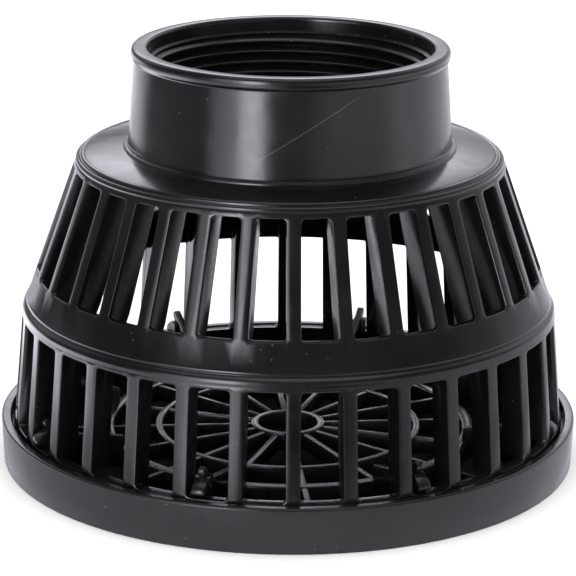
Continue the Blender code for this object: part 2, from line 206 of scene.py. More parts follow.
# %% The sections of the cage, in millimetres
BARS = 32
BAR_HALF = 1.45
COLUMN = math.radians(1.875)
NECK_JOIN_OUTER = (45.85, 65.75)
NECK_JOIN_INNER = (40.0, 65.5)
GAP_TOP = (46.17, 64.92)
GAP_TOP_INNER = (40.2, 64.92)
BAND_TOP = (54.4, 41.88)
BAND_ROWS = [
    (56.25, 36.5), (56.46, 36.28), (56.62, 36.0), (56.6, 35.72), (56.5, 35.5),
    (56.56, 35.3), (56.86, 35.06), (57.2, 34.8), (57.4, 34.5), (57.5, 34.1),
    (57.56, 33.6), (57.5, 33.36), (57.6, 33.1),
]
BAND_FOOT = (57.64, 32.45)
BAND_INSIDE = [(56.25, 32.45), (52.85, 41.88)]
RING_TOP = (59.6, 9.75)
RING_ROWS = [(59.85, 7.0), (59.78, 6.5), (59.55, 6.3), (57.3, 6.3)]
RING_INSIDE = (57.3, 9.75)
BAR_INSIDE = [(57.3, 10.2), (54.4, 10.2), (52.6, 32.9), (48.2, 41.88)]

bar_section = [NECK_JOIN_OUTER, GAP_TOP, BAND_TOP, *BAND_ROWS, BAND_FOOT, RING_TOP, *RING_ROWS,
               RING_INSIDE, *BAR_INSIDE, GAP_TOP_INNER, NECK_JOIN_INNER]
cage = draw_profile(bar_section, closed=False)
sweep(1, COLUMN)
bpy.ops.object.mode_set(mode="OBJECT")
print("bar strip", len(cage.data.polygons), "faces")

# %% [markdown]
# Between two bars only three things remain of the wall: the top edge under the shoulder, the thin band and
# the bottom ring. Their outlines repeat the outer points of the bar's section, so that the vertices of
# both meet. Holes could be cut by Booleans instead, but a swept gap keeps clean rows of faces.

# %% The sections of the gap, swept on to the middle of the gap
gap_sections = [
    ([NECK_JOIN_OUTER, GAP_TOP, GAP_TOP_INNER, NECK_JOIN_INNER], False),
    ([BAND_TOP, *BAND_ROWS, BAND_FOOT, *BAND_INSIDE], True),
    ([RING_TOP, *RING_ROWS, RING_INSIDE], True),
]
gap_parts = []
for points, closed in gap_sections:
    part = draw_profile(points, closed)
    sweep(2, 2 * COLUMN)
    bpy.ops.object.mode_set(mode="OBJECT")
    turn(part, COLUMN)
    gap_parts.append(part)
print("gap parts", [len(part.data.polygons) for part in gap_parts], "faces")

# %% [markdown]
# A moulded bar has flat, parallel sides, because its steel insert is milled straight, but a swept strip is
# a wedge. Scaling the strip's last column of vertices to nothing across the bar lays it into one plane.

# %% Join them and flatten the side of the bar
FLAT_BELOW = 65.2 * MM
join_to(cage, *gap_parts)
bpy.ops.object.mode_set(mode="EDIT")


def on_side_column(point, item):
    azimuth = math.atan2(point.y, point.x)
    return abs(azimuth - COLUMN) < 0.1 * COLUMN and point.z < FLAT_BELOW


side_count = pick(cage, "VERT", on_side_column)
bpy.ops.transform.resize(value=(1.0, 0.0, 1.0), center_override=(0.0, BAR_HALF * MM, 0.0))
bpy.ops.mesh.select_all(action="SELECT")
bpy.ops.mesh.remove_doubles(threshold=0.005 * MM)
print(side_count, "vertices laid into the side of the bar")

# %% [markdown]
# The loop of open edges round the side of the bar is filled with one face. The corners of a moulded slot
# are always rounded, so that the melt flows round them and no crack starts there: a bevel of the edges
# that run through the wall does that for all four corners at once.

# %% Fill the side of the bar, and round the corners of the gap
FILLET = 0.9 * MM
THROUGH_HEIGHTS = (GAP_TOP[1], BAND_TOP[1], BAND_FOOT[1], RING_TOP[1])


def in_bar_side(point):
    return abs(point.y - BAR_HALF * MM) < 0.01 * MM and point.z < FLAT_BELOW


bpy.ops.mesh.select_mode(type="EDGE")
bpy.ops.mesh.select_all(action="DESELECT")
bpy.ops.mesh.select_non_manifold(extend=False, use_wire=False, use_boundary=True,
                                 use_multi_face=False, use_non_contiguous=False, use_verts=False)
bpy.ops.object.mode_set(mode="OBJECT")
rim_edges = {edge.index for edge in cage.data.edges if edge.select}
bpy.ops.object.mode_set(mode="EDIT")


def rim_of_bar_side(middle, edge):
    return edge.index in rim_edges and all(in_bar_side(cage.data.vertices[i].co) for i in edge.vertices)


side_edges = pick(cage, "EDGE", rim_of_bar_side)
bpy.ops.mesh.edge_face_add()
print(side_edges, "edges round the side of the bar")


def runs_through_wall(middle, edge):
    """A level edge in the side of the bar at one of the four ends of the gap."""
    ends = [cage.data.vertices[i].co for i in edge.vertices]
    level = abs(ends[0].z - ends[1].z) < 0.01 * MM
    at_end = any(abs(middle.z - height * MM) < 0.01 * MM for height in THROUGH_HEIGHTS)
    return level and at_end and all(in_bar_side(end) for end in ends)


corner_edges = pick(cage, "EDGE", runs_through_wall)
bpy.ops.mesh.normals_make_consistent(inside=False)
bpy.ops.mesh.bevel(offset=FILLET, offset_type="OFFSET", segments=4, profile=0.5, affect="EDGES")
print(corner_edges, "corner edges rounded;", len(cage.data.polygons), "faces")

# %% [markdown]
# Every rim of a moulding is a little rounded and catches a thin line of light. The sharp edges are found by
# their angle, without the fine lines of the band, whose steps are already drawn in the section. Mirror
# then makes the whole bar, and Spin with copies sets the bars round the axis.

# %% Round the rims, mirror the half and repeat it round the cage
RIM = 0.22 * MM
FINE_LINES = (32.6 * MM, 37.5 * MM)      # heights of the band's lines, which keep their own edges
FINE_LINES_INSIDE = 56.0 * MM
RING_LINES_TOP = 9.0 * MM
FOOT_TOP = 10.6 * MM
FOOT_RADIUS = 57.6 * MM
JOIN_FOOT = 65.1 * MM
WELD = 0.004 * MM
bpy.ops.mesh.select_mode(type="EDGE")
bpy.ops.mesh.select_all(action="DESELECT")
bpy.ops.mesh.edges_select_sharp(sharpness=math.radians(35.0))
bpy.ops.object.mode_set(mode="OBJECT")
sharp_edges = {edge.index for edge in cage.data.edges if edge.select}
bpy.ops.object.mode_set(mode="EDIT")


def is_plain_rim(middle, edge):
    """A sharp edge that isn't part of the fine lines of the band or of the foot of the cage."""
    in_band_lines = FINE_LINES[0] < middle.z < FINE_LINES[1] and radius_of(middle) > FINE_LINES_INSIDE
    in_foot = middle.z < RING_LINES_TOP or (middle.z < FOOT_TOP and radius_of(middle) < FOOT_RADIUS)
    at_join = middle.z > JOIN_FOOT
    return edge.index in sharp_edges and not in_band_lines and not in_foot and not at_join


rim_count = pick(cage, "EDGE", is_plain_rim)
bpy.ops.mesh.bevel(offset=RIM, offset_type="OFFSET", segments=2, profile=0.5, affect="EDGES")
bpy.ops.object.mode_set(mode="OBJECT")
lone(cage)
mirror = cage.modifiers.new("Mirror", "MIRROR")
mirror.use_axis = (False, True, False)
mirror.use_clip = False
mirror.merge_threshold = WELD
bpy.ops.object.modifier_apply(modifier=mirror.name)
bpy.ops.object.mode_set(mode="EDIT")
bpy.ops.mesh.select_all(action="SELECT")
bpy.ops.mesh.spin(steps=BARS - 1, dupli=True, angle=math.tau * (BARS - 1) / BARS,
                  center=(0, 0, 0), axis=(0, 0, 1))
bpy.ops.mesh.select_all(action="SELECT")
bpy.ops.mesh.remove_doubles(threshold=WELD)
bpy.ops.object.mode_set(mode="OBJECT")
print(rim_count, "rims rounded;", len(cage.data.polygons), "faces in the cage")

# %% [markdown]
# ## The neck and the shoulder
#
# They are turned in one go above the cage. From inside to outside the section has the ledge for the pipe
# end, the threaded bore, a plain entry, a rolled lip, the slightly tapered collar, a small step ring,
# the flat shoulder, and a double bead on the shoulder's edge.

# %% Turn the neck and weld it to the cage
BORE = 29.85
neck_section = [
    NECK_JOIN_INNER, (25.6, 65.5), (25.3, 65.8), (25.3, 69.25), (25.55, 69.5), (28.35, 69.5),
    (BORE, 70.1), (BORE, 86.6), (29.42, 86.92), (29.4, 87.06), (30.14, 87.42), (30.3, 89.5),
    *arc(30.98, 89.74, 0.66, 175.0, 90.0, 5),
    *arc(32.85, 89.42, 0.98, 90.0, -6.0, 8),
    (33.83, 88.75), (33.7, 88.3), (33.48, 87.98), (33.3, 87.78), (33.27, 87.56), (33.32, 87.2),
    (34.48, 70.4), (34.54, 69.85), (34.66, 69.5), (34.78, 69.4),
    *arc(35.02, 68.98, 0.42, 108.0, -14.0, 6),
    (35.5, 68.76), (35.72, 68.72), (36.2, 68.68), (43.3, 67.84),
    *arc(44.16, 67.18, 0.68, 130.0, -10.0, 7),
    (44.86, 66.98),
    *arc(45.02, 66.4, 0.72, 84.0, -30.0, 7),
    (45.72, 65.95), NECK_JOIN_OUTER,
]
body = draw_profile(neck_section, closed=False)
sweep(6 * BARS, math.tau)
bpy.ops.mesh.select_all(action="SELECT")
bpy.ops.mesh.remove_doubles(threshold=WELD)
bpy.ops.object.mode_set(mode="OBJECT")
join_to(body, cage)
bpy.ops.object.mode_set(mode="EDIT")
close_up(10 * SAME_PLACE)
bpy.ops.object.mode_set(mode="OBJECT")
print("body", len(body.data.polygons), "faces")

# %% [markdown]
# A 2-inch pipe thread has 11 turns to the inch. The mould forms it on a core that is screwed out. A ring
# for each turn would look alike from the front but not at the mouth, where the real ridge runs out, so
# the section of one ridge is wound up a helix with the Screw modifier, and both its ends are closed.

# %% The pipe thread, a ridge that climbs round the bore
PITCH = 2.309
THREAD_TURNS = 7
THREAD_FOOT = 70.33
BAR_PHASE = math.radians(1.12)      # how far the first bar stands from +X
ridge_section = [
    (30.2, -0.98), (29.8, -0.92), (28.52, -0.34), (28.36, -0.16),
    (28.36, 0.16), (28.52, 0.34), (29.8, 0.92), (30.2, 0.98),
]


def wind_up(obj, angle, rise, steps, repeats=1):
    """Wind a section up a helix, and leave the two open ends selected, in edit mode."""
    lone(obj)
    screw = obj.modifiers.new("Screw", "SCREW")
    screw.axis = "Z"
    screw.angle = angle
    screw.screw_offset = rise * MM
    screw.steps = steps
    screw.render_steps = steps
    screw.iterations = repeats
    bpy.ops.object.modifier_apply(modifier=screw.name)
    bpy.ops.object.mode_set(mode="EDIT")
    bpy.ops.mesh.select_mode(type="EDGE")
    bpy.ops.mesh.select_all(action="DESELECT")
    bpy.ops.mesh.select_non_manifold()


thread = draw_profile([(r, z + THREAD_FOOT) for r, z in ridge_section])
bpy.ops.object.mode_set(mode="OBJECT")
turn(thread, math.radians(-90.0))
wind_up(thread, math.tau, PITCH, 120, THREAD_TURNS)
bpy.ops.mesh.fill()
close_up()
bpy.ops.object.mode_set(mode="OBJECT")
join_to(body, thread)
body.rotation_euler.z = BAR_PHASE
print("body with thread", len(body.data.polygons), "faces")

# %% [markdown]
# ## Materials
#
# Every surface is procedural and uses Object coordinates. Moulded polypropylene is nearly black and
# glossy. Its gloss is uneven: slow waves from shrinkage, a fine orange peel, rubbed patches, and a few
# specks of dust. Rubber is matt and powdery, steel has turning marks, and acetal is milky.


# %% Material building blocks
def start_material(name):
    """A Principled material and its Object coordinates."""
    mat = bpy.data.materials.new(name)
    mat.use_nodes = True
    nodes = mat.node_tree.nodes
    coords = nodes.new("ShaderNodeTexCoord")
    return mat, nodes, mat.node_tree.links, nodes["Principled BSDF"], coords.outputs["Object"]


def noise(nodes, links, coords, scale, detail=3.0, stretch=None, rough=0.5):
    """Noise with `scale` lumps to the metre, optionally stretched along the axes."""
    if stretch is not None:
        mapping = nodes.new("ShaderNodeMapping")
        mapping.inputs["Scale"].default_value = stretch
        links.new(coords, mapping.inputs["Vector"])
        coords = mapping.outputs["Vector"]
    tex = nodes.new("ShaderNodeTexNoise")
    tex.inputs["Scale"].default_value = scale
    tex.inputs["Detail"].default_value = detail
    tex.inputs["Roughness"].default_value = rough
    links.new(coords, tex.inputs["Vector"])
    return tex.outputs["Fac"]


def remap(nodes, links, value, low, high, to_low, to_high):
    """Map a value from low..high to to_low..to_high, with soft ends."""
    node = nodes.new("ShaderNodeMapRange")
    node.interpolation_type = "SMOOTHSTEP"
    for socket, number in zip(("From Min", "From Max", "To Min", "To Max"), (low, high, to_low, to_high)):
        node.inputs[socket].default_value = number
    links.new(value, node.inputs["Value"])
    return node.outputs["Result"]


def combine(nodes, links, operation, a, b):
    """A Math node on two values; b may be a plain number."""
    node = nodes.new("ShaderNodeMath")
    node.operation = operation
    for socket, value in zip(node.inputs, (a, b)):
        if isinstance(value, (int, float)):
            socket.default_value = value
        else:
            links.new(value, socket)
    return node.outputs["Value"]


def blend_colors(nodes, links, factor, first, second):
    """Mix two colours by a factor; each colour is three numbers or a socket."""
    node = nodes.new("ShaderNodeMix")
    node.data_type = "RGBA"
    links.new(factor, node.inputs["Factor"])
    for socket, color in zip((node.inputs[6], node.inputs[7]), (first, second)):
        if isinstance(color, tuple):
            socket.default_value = (*color, 1.0)
        else:
            links.new(color, socket)
    return node.outputs[2]


def bump(nodes, links, height, distance, under=None, strength=1.0):
    """A Bump node whose full height is `distance`, laid over another normal."""
    node = nodes.new("ShaderNodeBump")
    node.inputs["Strength"].default_value = strength
    node.inputs["Distance"].default_value = distance
    links.new(height, node.inputs["Height"])
    if under is not None:
        links.new(under, node.inputs["Normal"])
    return node.outputs["Normal"]


# %% [markdown]
# Carbon black makes polypropylene nearly black, so its colour matters less than its gloss. Two blacks are
# mixed by slow clouds, rubbed patches are a little paler and duller, and Voronoi cells give the dust. Two
# bumps, long waves and a fine skin, break up the reflections. The collar also has one thin scratch.

# %% Moulded plastics
SCRATCH_START = (-8.6, 71.4)      # x and z of the scratch's lower end
SCRATCH_SLOPE = 0.63
DUST_COLOR = (0.16, 0.155, 0.15)
SCRATCH_COLOR = (0.09, 0.09, 0.095)


def scratch_mask(nodes, links, coords):
    """1 along a thin, slightly bent scratch that climbs across the front of the collar."""
    parts = nodes.new("ShaderNodeSeparateXYZ")
    links.new(coords, parts.inputs["Vector"])
    rise = combine(nodes, links, "ADD", parts.outputs["Z"], -SCRATCH_START[1] * MM)
    run = combine(nodes, links, "ADD", parts.outputs["X"], -SCRATCH_START[0] * MM)
    off = combine(nodes, links, "SUBTRACT", combine(nodes, links, "MULTIPLY", run, SCRATCH_SLOPE), rise)
    bend = combine(nodes, links, "MULTIPLY", noise(nodes, links, coords, 45.0, 1.0), 1.6 * MM)
    off = combine(nodes, links, "ABSOLUTE", combine(nodes, links, "ADD", off, bend), 0.0)
    line = remap(nodes, links, off, 0.05 * MM, 0.16 * MM, 1.0, 0.0)
    low = remap(nodes, links, parts.outputs["Z"], 71.5 * MM, 74.0 * MM, 0.0, 1.0)
    high = remap(nodes, links, parts.outputs["Z"], 84.0 * MM, 87.0 * MM, 1.0, 0.0)
    front = remap(nodes, links, parts.outputs["Y"], -22.0 * MM, -18.0 * MM, 1.0, 0.0)
    for limit in (low, high, front):
        line = combine(nodes, links, "MULTIPLY", line, limit)
    return line


def moulded_plastic(name, dark, light, gloss, wave, peel, specks, scratched=False):
    """Black polypropylene. gloss is (roughness low, high); wave and peel are bump heights in metres."""
    mat, nodes, links, shader, coords = start_material(name)
    clouds = noise(nodes, links, coords, 55.0, 5.0)
    rubs = noise(nodes, links, coords, 160.0, 6.0, (1.0, 1.0, 0.35), 0.7)
    color = blend_colors(nodes, links, remap(nodes, links, clouds, 0.35, 0.65, 0.0, 1.0), dark, light)
    rubbed = remap(nodes, links, rubs, 0.58, 0.78, 0.0, 1.0)
    color = blend_colors(nodes, links, combine(nodes, links, "MULTIPLY", rubbed, 0.45), color,
                         tuple(2.2 * part for part in light))
    dots = nodes.new("ShaderNodeTexVoronoi")
    dots.feature = "F1"
    dots.inputs["Scale"].default_value = 420.0
    links.new(coords, dots.inputs["Vector"])
    dust = remap(nodes, links, dots.outputs["Distance"], 0.05, 0.10, specks, 0.0)
    rare = remap(nodes, links, noise(nodes, links, coords, 260.0, 1.0), 0.56, 0.62, 0.0, 1.0)
    dust = combine(nodes, links, "MULTIPLY", dust, rare)
    color = blend_colors(nodes, links, dust, color, DUST_COLOR)
    if scratched:
        scratch = scratch_mask(nodes, links, coords)
        half_scratch = combine(nodes, links, "MULTIPLY", scratch, 0.5)
        color = blend_colors(nodes, links, half_scratch, color, SCRATCH_COLOR)
    links.new(color, shader.inputs["Base Color"])
    rough = remap(nodes, links, noise(nodes, links, coords, 90.0, 6.0, None, 0.65), 0.3, 0.7, *gloss)
    rough = combine(nodes, links, "ADD", rough, combine(nodes, links, "MULTIPLY", rubbed, 0.14))
    rough = combine(nodes, links, "ADD", rough, combine(nodes, links, "MULTIPLY", dust, 0.3))
    links.new(rough, shader.inputs["Roughness"])
    waves = bump(nodes, links, noise(nodes, links, coords, 75.0, 2.0), wave)
    skin = bump(nodes, links, noise(nodes, links, coords, 950.0, 2.0), peel, waves)
    streaks = noise(nodes, links, coords, 1500.0, 3.0, (1.0, 1.0, 0.04))
    skin = bump(nodes, links, streaks, 0.5 * peel, skin)
    links.new(skin, shader.inputs["Normal"])
    shader.inputs["IOR"].default_value = 1.5
    return mat


body_plastic = moulded_plastic(
    "glossy black polypropylene", (0.0035, 0.0035, 0.004), (0.007, 0.007, 0.0073),
    (0.13, 0.25), 0.07 * MM, 0.006 * MM, 0.35, scratched=True)
cover_plastic = moulded_plastic(
    "glossy black cover polypropylene", (0.005, 0.005, 0.0056), (0.009, 0.009, 0.010),
    (0.20, 0.32), 0.03 * MM, 0.005 * MM, 0.8)
valve_plastic = moulded_plastic(
    "satin black valve polypropylene", (0.012, 0.012, 0.013), (0.02, 0.02, 0.0215),
    (0.34, 0.46), 0.02 * MM, 0.006 * MM, 0.2)
print("plastics made")


# %% [markdown]
# Rubber is dusted with talc, so its roughness and its colour follow one powdery noise. Turned and drawn
# steel have fine marks that run round or along, made by a noise that is stretched square to them. Acetal
# lets a little light in, which is what Subsurface is for.

# %% Rubber, steels and acetal
def rubber_material(name):
    mat, nodes, links, shader, coords = start_material(name)
    powder = noise(nodes, links, coords, 700.0, 6.0, None, 0.7)
    color = blend_colors(nodes, links, remap(nodes, links, powder, 0.4, 0.75, 0.0, 1.0),
                         (0.008, 0.008, 0.008), (0.028, 0.027, 0.026))
    links.new(color, shader.inputs["Base Color"])
    links.new(remap(nodes, links, powder, 0.3, 0.7, 0.62, 0.82), shader.inputs["Roughness"])
    links.new(bump(nodes, links, powder, 0.012 * MM), shader.inputs["Normal"])
    return mat


def steel_material(name, color, low, high, stretch, scale):
    """Stainless steel whose marks run square to the stretched axis."""
    mat, nodes, links, shader, coords = start_material(name)
    marks = noise(nodes, links, coords, scale, 4.0, stretch, 0.6)
    stain = noise(nodes, links, coords, 210.0, 4.0)
    tint = blend_colors(nodes, links, remap(nodes, links, stain, 0.35, 0.7, 0.0, 1.0),
                        color, tuple(0.78 * part for part in color))
    links.new(tint, shader.inputs["Base Color"])
    links.new(remap(nodes, links, marks, 0.3, 0.7, low, high), shader.inputs["Roughness"])
    links.new(bump(nodes, links, marks, 0.004 * MM), shader.inputs["Normal"])
    shader.inputs["Metallic"].default_value = 1.0
    return mat


def acetal_material(name):
    mat, nodes, links, shader, coords = start_material(name)
    marks = noise(nodes, links, coords, 300.0, 3.0, (1.0, 1.0, 9.0))
    color = blend_colors(nodes, links, remap(nodes, links, marks, 0.35, 0.7, 0.0, 1.0),
                         (0.74, 0.73, 0.69), (0.66, 0.65, 0.60))
    links.new(color, shader.inputs["Base Color"])
    links.new(remap(nodes, links, marks, 0.3, 0.7, 0.32, 0.46), shader.inputs["Roughness"])
    links.new(bump(nodes, links, marks, 0.006 * MM), shader.inputs["Normal"])
    shader.inputs["Subsurface Weight"].default_value = 0.15
    shader.inputs["Subsurface Radius"].default_value = (0.0012, 0.001, 0.0008)
    return mat


rubber = rubber_material("black nitrile rubber")
stainless = steel_material("turned stainless steel", (0.56, 0.56, 0.55), 0.22, 0.36, (1.0, 1.0, 14.0), 260.0)
wire_steel = steel_material("drawn spring wire", (0.50, 0.50, 0.50), 0.26, 0.40, (6.0, 6.0, 1.0), 500.0)
acetal = acetal_material("turned acetal")
print("rubber, steels and acetal made")

# %% [markdown]
# The body is one moulding, so neck, cage and thread are one piece with one material. It replaces the plain
# CAD solid and rides on the housing.

# %% Finish the strainer body
finish_piece(body, "fine_strainer_body", HOUSING, "body_moulding", body_plastic, "strainer_body", smooth=38.0)

# %% [markdown]
# ## The base cover
#
# A shallow moulded cap clips on from below. Its outer wall hides the bottom ring of the cage, and its floor
# is an open lattice. The wall, with the ledge that the cage stands on, and the three rings of the lattice
# are turned, which gives every one of them rounded rims in a single step.


# %% Wall, ledge and rings
def ring_section(inner, outer, low, high, rounding=0.25, steps=2):
    """A rectangle between two radii and two heights, with its corners rounded."""
    r = rounding
    return [
        *arc(outer - r, low + r, r, -90.0, 0.0, steps), *arc(outer - r, high - r, r, 0.0, 90.0, steps),
        *arc(inner + r, high - r, r, 90.0, 180.0, steps), *arc(inner + r, low + r, r, 180.0, 270.0, steps),
    ]


wall_section = [
    (61.0, 0.0), (61.85, 0.0), (62.08, 0.1), (62.17, 0.3), (62.3, 4.2),
    *arc(61.98, 9.33, 0.52, -2.0, 90.0, 5),
    *arc(60.75, 9.5, 0.35, 90.0, 180.0, 3),
    (60.4, 5.9), (56.45, 5.9), (56.2, 5.65), (56.2, 3.65), (56.45, 3.4), (60.4, 3.4), (60.4, 0.5),
    (60.6, 0.15),
]
FLOOR_RINGS = [(6.5, 8.1, 2.3, 6.2), (27.5, 29.0, 2.3, 6.15), (38.2, 40.8, 2.3, 6.15)]
cover = turn_round(wall_section, 192)
cover_parts = [turn_round(ring_section(*sizes)) for sizes in FLOOR_RINGS]
print("cover wall and", len(cover_parts), "rings")

# %% [markdown]
# Sixteen ribs run from the centre ring to the wall. Every second one carries a vane that rises into a
# slanting finger, and a hook that reaches over the cage's bottom ring and holds the cover on. One rib, one
# vane and one hook are made as rounded plates, and turned copies are set round the floor.


# %% One rib, one vane and one hook, and their copies
def plate(outline, half_width, edge):
    """An outline in the XZ plane, thickened to both sides of it, with its edges rounded."""
    obj = draw_profile(outline)
    bpy.ops.transform.translate(value=(0.0, -half_width * MM, 0.0))
    bpy.ops.mesh.edge_face_add()
    bpy.ops.mesh.extrude_region_move(TRANSFORM_OT_translate={"value": (0.0, 2 * half_width * MM, 0.0)})
    close_up()
    bpy.ops.mesh.select_mode(type="EDGE")
    bpy.ops.mesh.select_all(action="DESELECT")
    bpy.ops.mesh.edges_select_sharp(sharpness=math.radians(50.0))
    bpy.ops.mesh.bevel(offset=edge * MM, segments=2, profile=0.5, affect="EDGES")
    bpy.ops.object.mode_set(mode="OBJECT")
    return obj


def copy_turned(obj, azimuth):
    """A copy with its own mesh, turned so that its +X side lies at an azimuth counted from -Y towards +X."""
    lone(obj)
    bpy.ops.object.duplicate(linked=False)
    copy = bpy.context.object
    turn(copy, azimuth - math.pi / 2)
    return copy


RIBS = 16
RIB_PHASE = math.radians(5.05)
rib = plate([(7.3, 2.5), (60.8, 2.5), (60.8, 6.0), (7.3, 6.0)], 0.65, 0.25)
vane = plate([(39.6, 4.0), (56.4, 4.0), (56.4, 12.8), (57.6, 14.1), (57.8, 14.7), (57.65, 15.4),
              (57.2, 15.7), (56.7, 15.65), (51.4, 11.7), (39.6, 9.4)], 0.75, 0.25)
hook = plate([(55.1, 4.2), (56.9, 4.2), (56.9, 10.15), (59.3, 10.15), (59.85, 10.45), (60.0, 10.9),
              (59.7, 11.8), (58.5, 12.8), (57.3, 13.4), (56.6, 13.4), (55.1, 13.1)], 1.45, 0.3)
for k in range(RIBS):
    azimuth = RIB_PHASE + math.tau * k / RIBS
    cover_parts.append(copy_turned(rib, azimuth))
    if k % 2 == 1:
        cover_parts.append(copy_turned(vane, azimuth))
        cover_parts.append(copy_turned(hook, azimuth))
drop(rib, vane, hook)
join_to(cover, *cover_parts)
finish_piece(cover, "fine_base_cover", HOUSING, "cover_moulding", cover_plastic, "base_cover")

# %% [markdown]
# ## The valve carrier and its seals
#
# The carrier is a moulded spider: a flange that is screwed up under the neck, a raised seat ring, four
# spokes and a long hub. Ring and hub are turned with rounded corners, the spokes are beams, and the screw
# holes are drilled and countersunk with a Boolean. Gaskets are plain rings with softened edges.


# %% The carrier
def countersunk_cutter(places, head, shank, low, head_high, high):
    """Cutters for countersunk holes, joined into one object."""
    section = [(0.0, low), (head, low), (shank, low + head_high), (shank, high), (0.0, high)]
    cutters = []
    for place in places:
        cutter = turn_round(section, 24)
        lone(cutter)
        cutter.location = place
        bpy.ops.object.transform_apply(location=True)
        cutters.append(cutter)
    join_to(*cutters)
    return cutters[0]


def carve(obj, tool, operation="DIFFERENCE"):
    """Cut a piece with another one by an exact Boolean, and delete the other one."""
    lone(obj)
    cut = obj.modifiers.new("Cut", "BOOLEAN")
    cut.operation = operation
    cut.solver = "EXACT"
    cut.object = tool
    bpy.ops.object.modifier_apply(modifier=cut.name)
    drop(tool)


def circle_places(count, radius, first):
    """Places on a circle, with the azimuth counted in degrees from -Y towards +X."""
    angles = [math.radians(first + 360.0 * k / count) for k in range(count)]
    return [Vector((radius * MM * math.sin(a), -radius * MM * math.cos(a), 0.0)) for a in angles]


SCREWS = 6
SCREW_PLACES = circle_places(SCREWS, 31.0, 15.0)
carrier = turn_round([
    (18.75, 61.8), (34.3, 61.8), (34.6, 62.1), (34.6, 63.9), (34.3, 64.2), (25.1, 64.2), (25.0, 64.35),
    (25.0, 65.7), (24.8, 65.9), (20.8, 67.42), (20.5, 67.5), (18.75, 67.5), (18.5, 67.3), (18.5, 62.05),
], 128)
carve(carrier, countersunk_cutter(SCREW_PLACES, 3.05, 1.55, 61.5, 1.5, 65.0))
hub = turn_round([
    (5.1, 54.3), (6.6, 54.3), (6.8, 54.5), (6.8, 70.5), (6.6, 70.7), (3.6, 70.7), (3.5, 70.6), (3.5, 67.7),
    (4.9, 67.7), (4.9, 54.5),
], 64)
spoke = plate([(5.9, 59.5), (19.6, 62.6), (19.6, 65.0), (5.9, 65.0)], 1.2, 0.25)
spokes = [copy_turned(spoke, math.radians(45.0 + 90.0 * k)) for k in range(4)]
drop(spoke)
join_to(carrier, hub, *spokes)
finish_piece(carrier, "fine_valve_carrier", HOUSING, "valve_moulding", valve_plastic, "valve_carrier")

# %% [markdown]
# Two flat rings of rubber seal the carrier and the pipe end, and a plain acetal bush guides the stem. The
# rings are punched from sheet and the bush is turned. All three are round, so each is a turned section.

# %% Gaskets and the guide bush
gasket = turn_round(ring_section(25.5, 34.3, 64.5, 65.2, 0.15))
carve(gasket, countersunk_cutter(SCREW_PLACES, 1.55, 1.55, 64.0, 0.5, 66.0))
finish_piece(gasket, "fine_carrier_gasket", HOUSING, "rubber_seal", rubber, "carrier_gasket")
pipe_ring = turn_round(ring_section(25.7, 28.0, 69.8, 70.9, 0.25, 3))
finish_piece(pipe_ring, "fine_pipe_gasket", HOUSING, "rubber_seal", rubber, "pipe_gasket")
bush = turn_round([
    (2.25, 67.7), (3.05, 67.7), (3.2, 67.85), (3.2, 71.0), (5.05, 71.0), (5.2, 71.15), (5.2, 71.55),
    (5.05, 71.7), (2.25, 71.7), (2.12, 71.55), (2.12, 67.85),
], 48)
finish_piece(bush, "fine_guide_bush", HOUSING, "acetal_bush", acetal, "guide_bush")

# %% [markdown]
# ## The screws
#
# Both sorts are thread-forming screws for plastic. The section of head and shank is turned with the
# thread as sharp rings, which is near enough at this size, and a cross is sunk into the head with two
# crossed bars. Each screw is modelled once on the axis and copied to its places.


# %% Modelling a screw and copying it
def thread_rings(core, crest, low, high, pitch):
    """The points of a thread, drawn as rings up the shank."""
    points = []
    z = low
    while z + pitch < high:
        points += [(core, z), (core, z + 0.45 * pitch), (crest, z + 0.7 * pitch), (crest, z + 0.76 * pitch)]
        z += pitch
    return points


def sink_cross(screw, face_z, arm, width, depth):
    """Sink a cross into the underside of the head at face_z."""
    bars = []
    for k in range(2):
        bpy.ops.object.select_all(action="DESELECT")
        bpy.ops.mesh.primitive_cube_add(size=1.0, location=(0.0, 0.0, face_z * MM))
        bar = bpy.context.object
        bar.scale = (2 * arm * MM, width * MM, 2 * depth * MM)
        bar.rotation_euler.z = math.radians(90.0 * k + 20.0)
        bpy.ops.object.transform_apply(location=True, rotation=True, scale=True)
        bars.append(bar)
    for bar in bars:
        carve(screw, bar)


def place_screws(model, places, node_name, body_name):
    """Copy a screw from the axis to each place, each turned a little further, and name it by its node."""
    for k, place in enumerate(places):
        lone(model)
        bpy.ops.object.duplicate(linked=False)
        copy = bpy.context.object
        copy.rotation_euler.z = math.radians(37.0 * k)
        copy.location = place
        node = f"{node_name}_{k + 1}"
        finish_piece(copy, f"fine_{node}", body_name, "stainless_steel", stainless, node, smooth=32.0)
    drop(model)


# %% [markdown]
# Six countersunk screws hold the carrier up against the neck, and three pan-head screws hold the clamp
# plate against the disc. Assembly leaves the crosses at any angle, so each copy is turned on.

# %% Both sorts of screw
carrier_screw = turn_round([
    (0.0, 61.8), (2.2, 61.8), (2.35, 61.92), (1.1, 63.1),
    *thread_rings(0.95, 1.25, 63.2, 69.4, 0.9), (0.95, 69.4), (0.35, 70.3), (0.0, 70.3),
], 32)
sink_cross(carrier_screw, 61.8, 1.35, 0.42, 0.9)
place_screws(carrier_screw, SCREW_PLACES, "carrier_screw", HOUSING)

CLAMP_PLACES = circle_places(3, 11.8, 0.0)
clamp_screw = turn_round([
    (0.0, 65.2), (1.55, 65.2), (1.85, 65.38), (2.0, 65.75), (2.0, 65.9), (0.95, 65.9),
    *thread_rings(0.85, 1.1, 66.1, 70.4, 0.8), (0.85, 70.5), (0.35, 71.2), (0.0, 71.2),
], 32)
sink_cross(clamp_screw, 65.2, 1.1, 0.36, 0.5)
place_screws(clamp_screw, CLAMP_PLACES, "clamp_screw", POPPET)

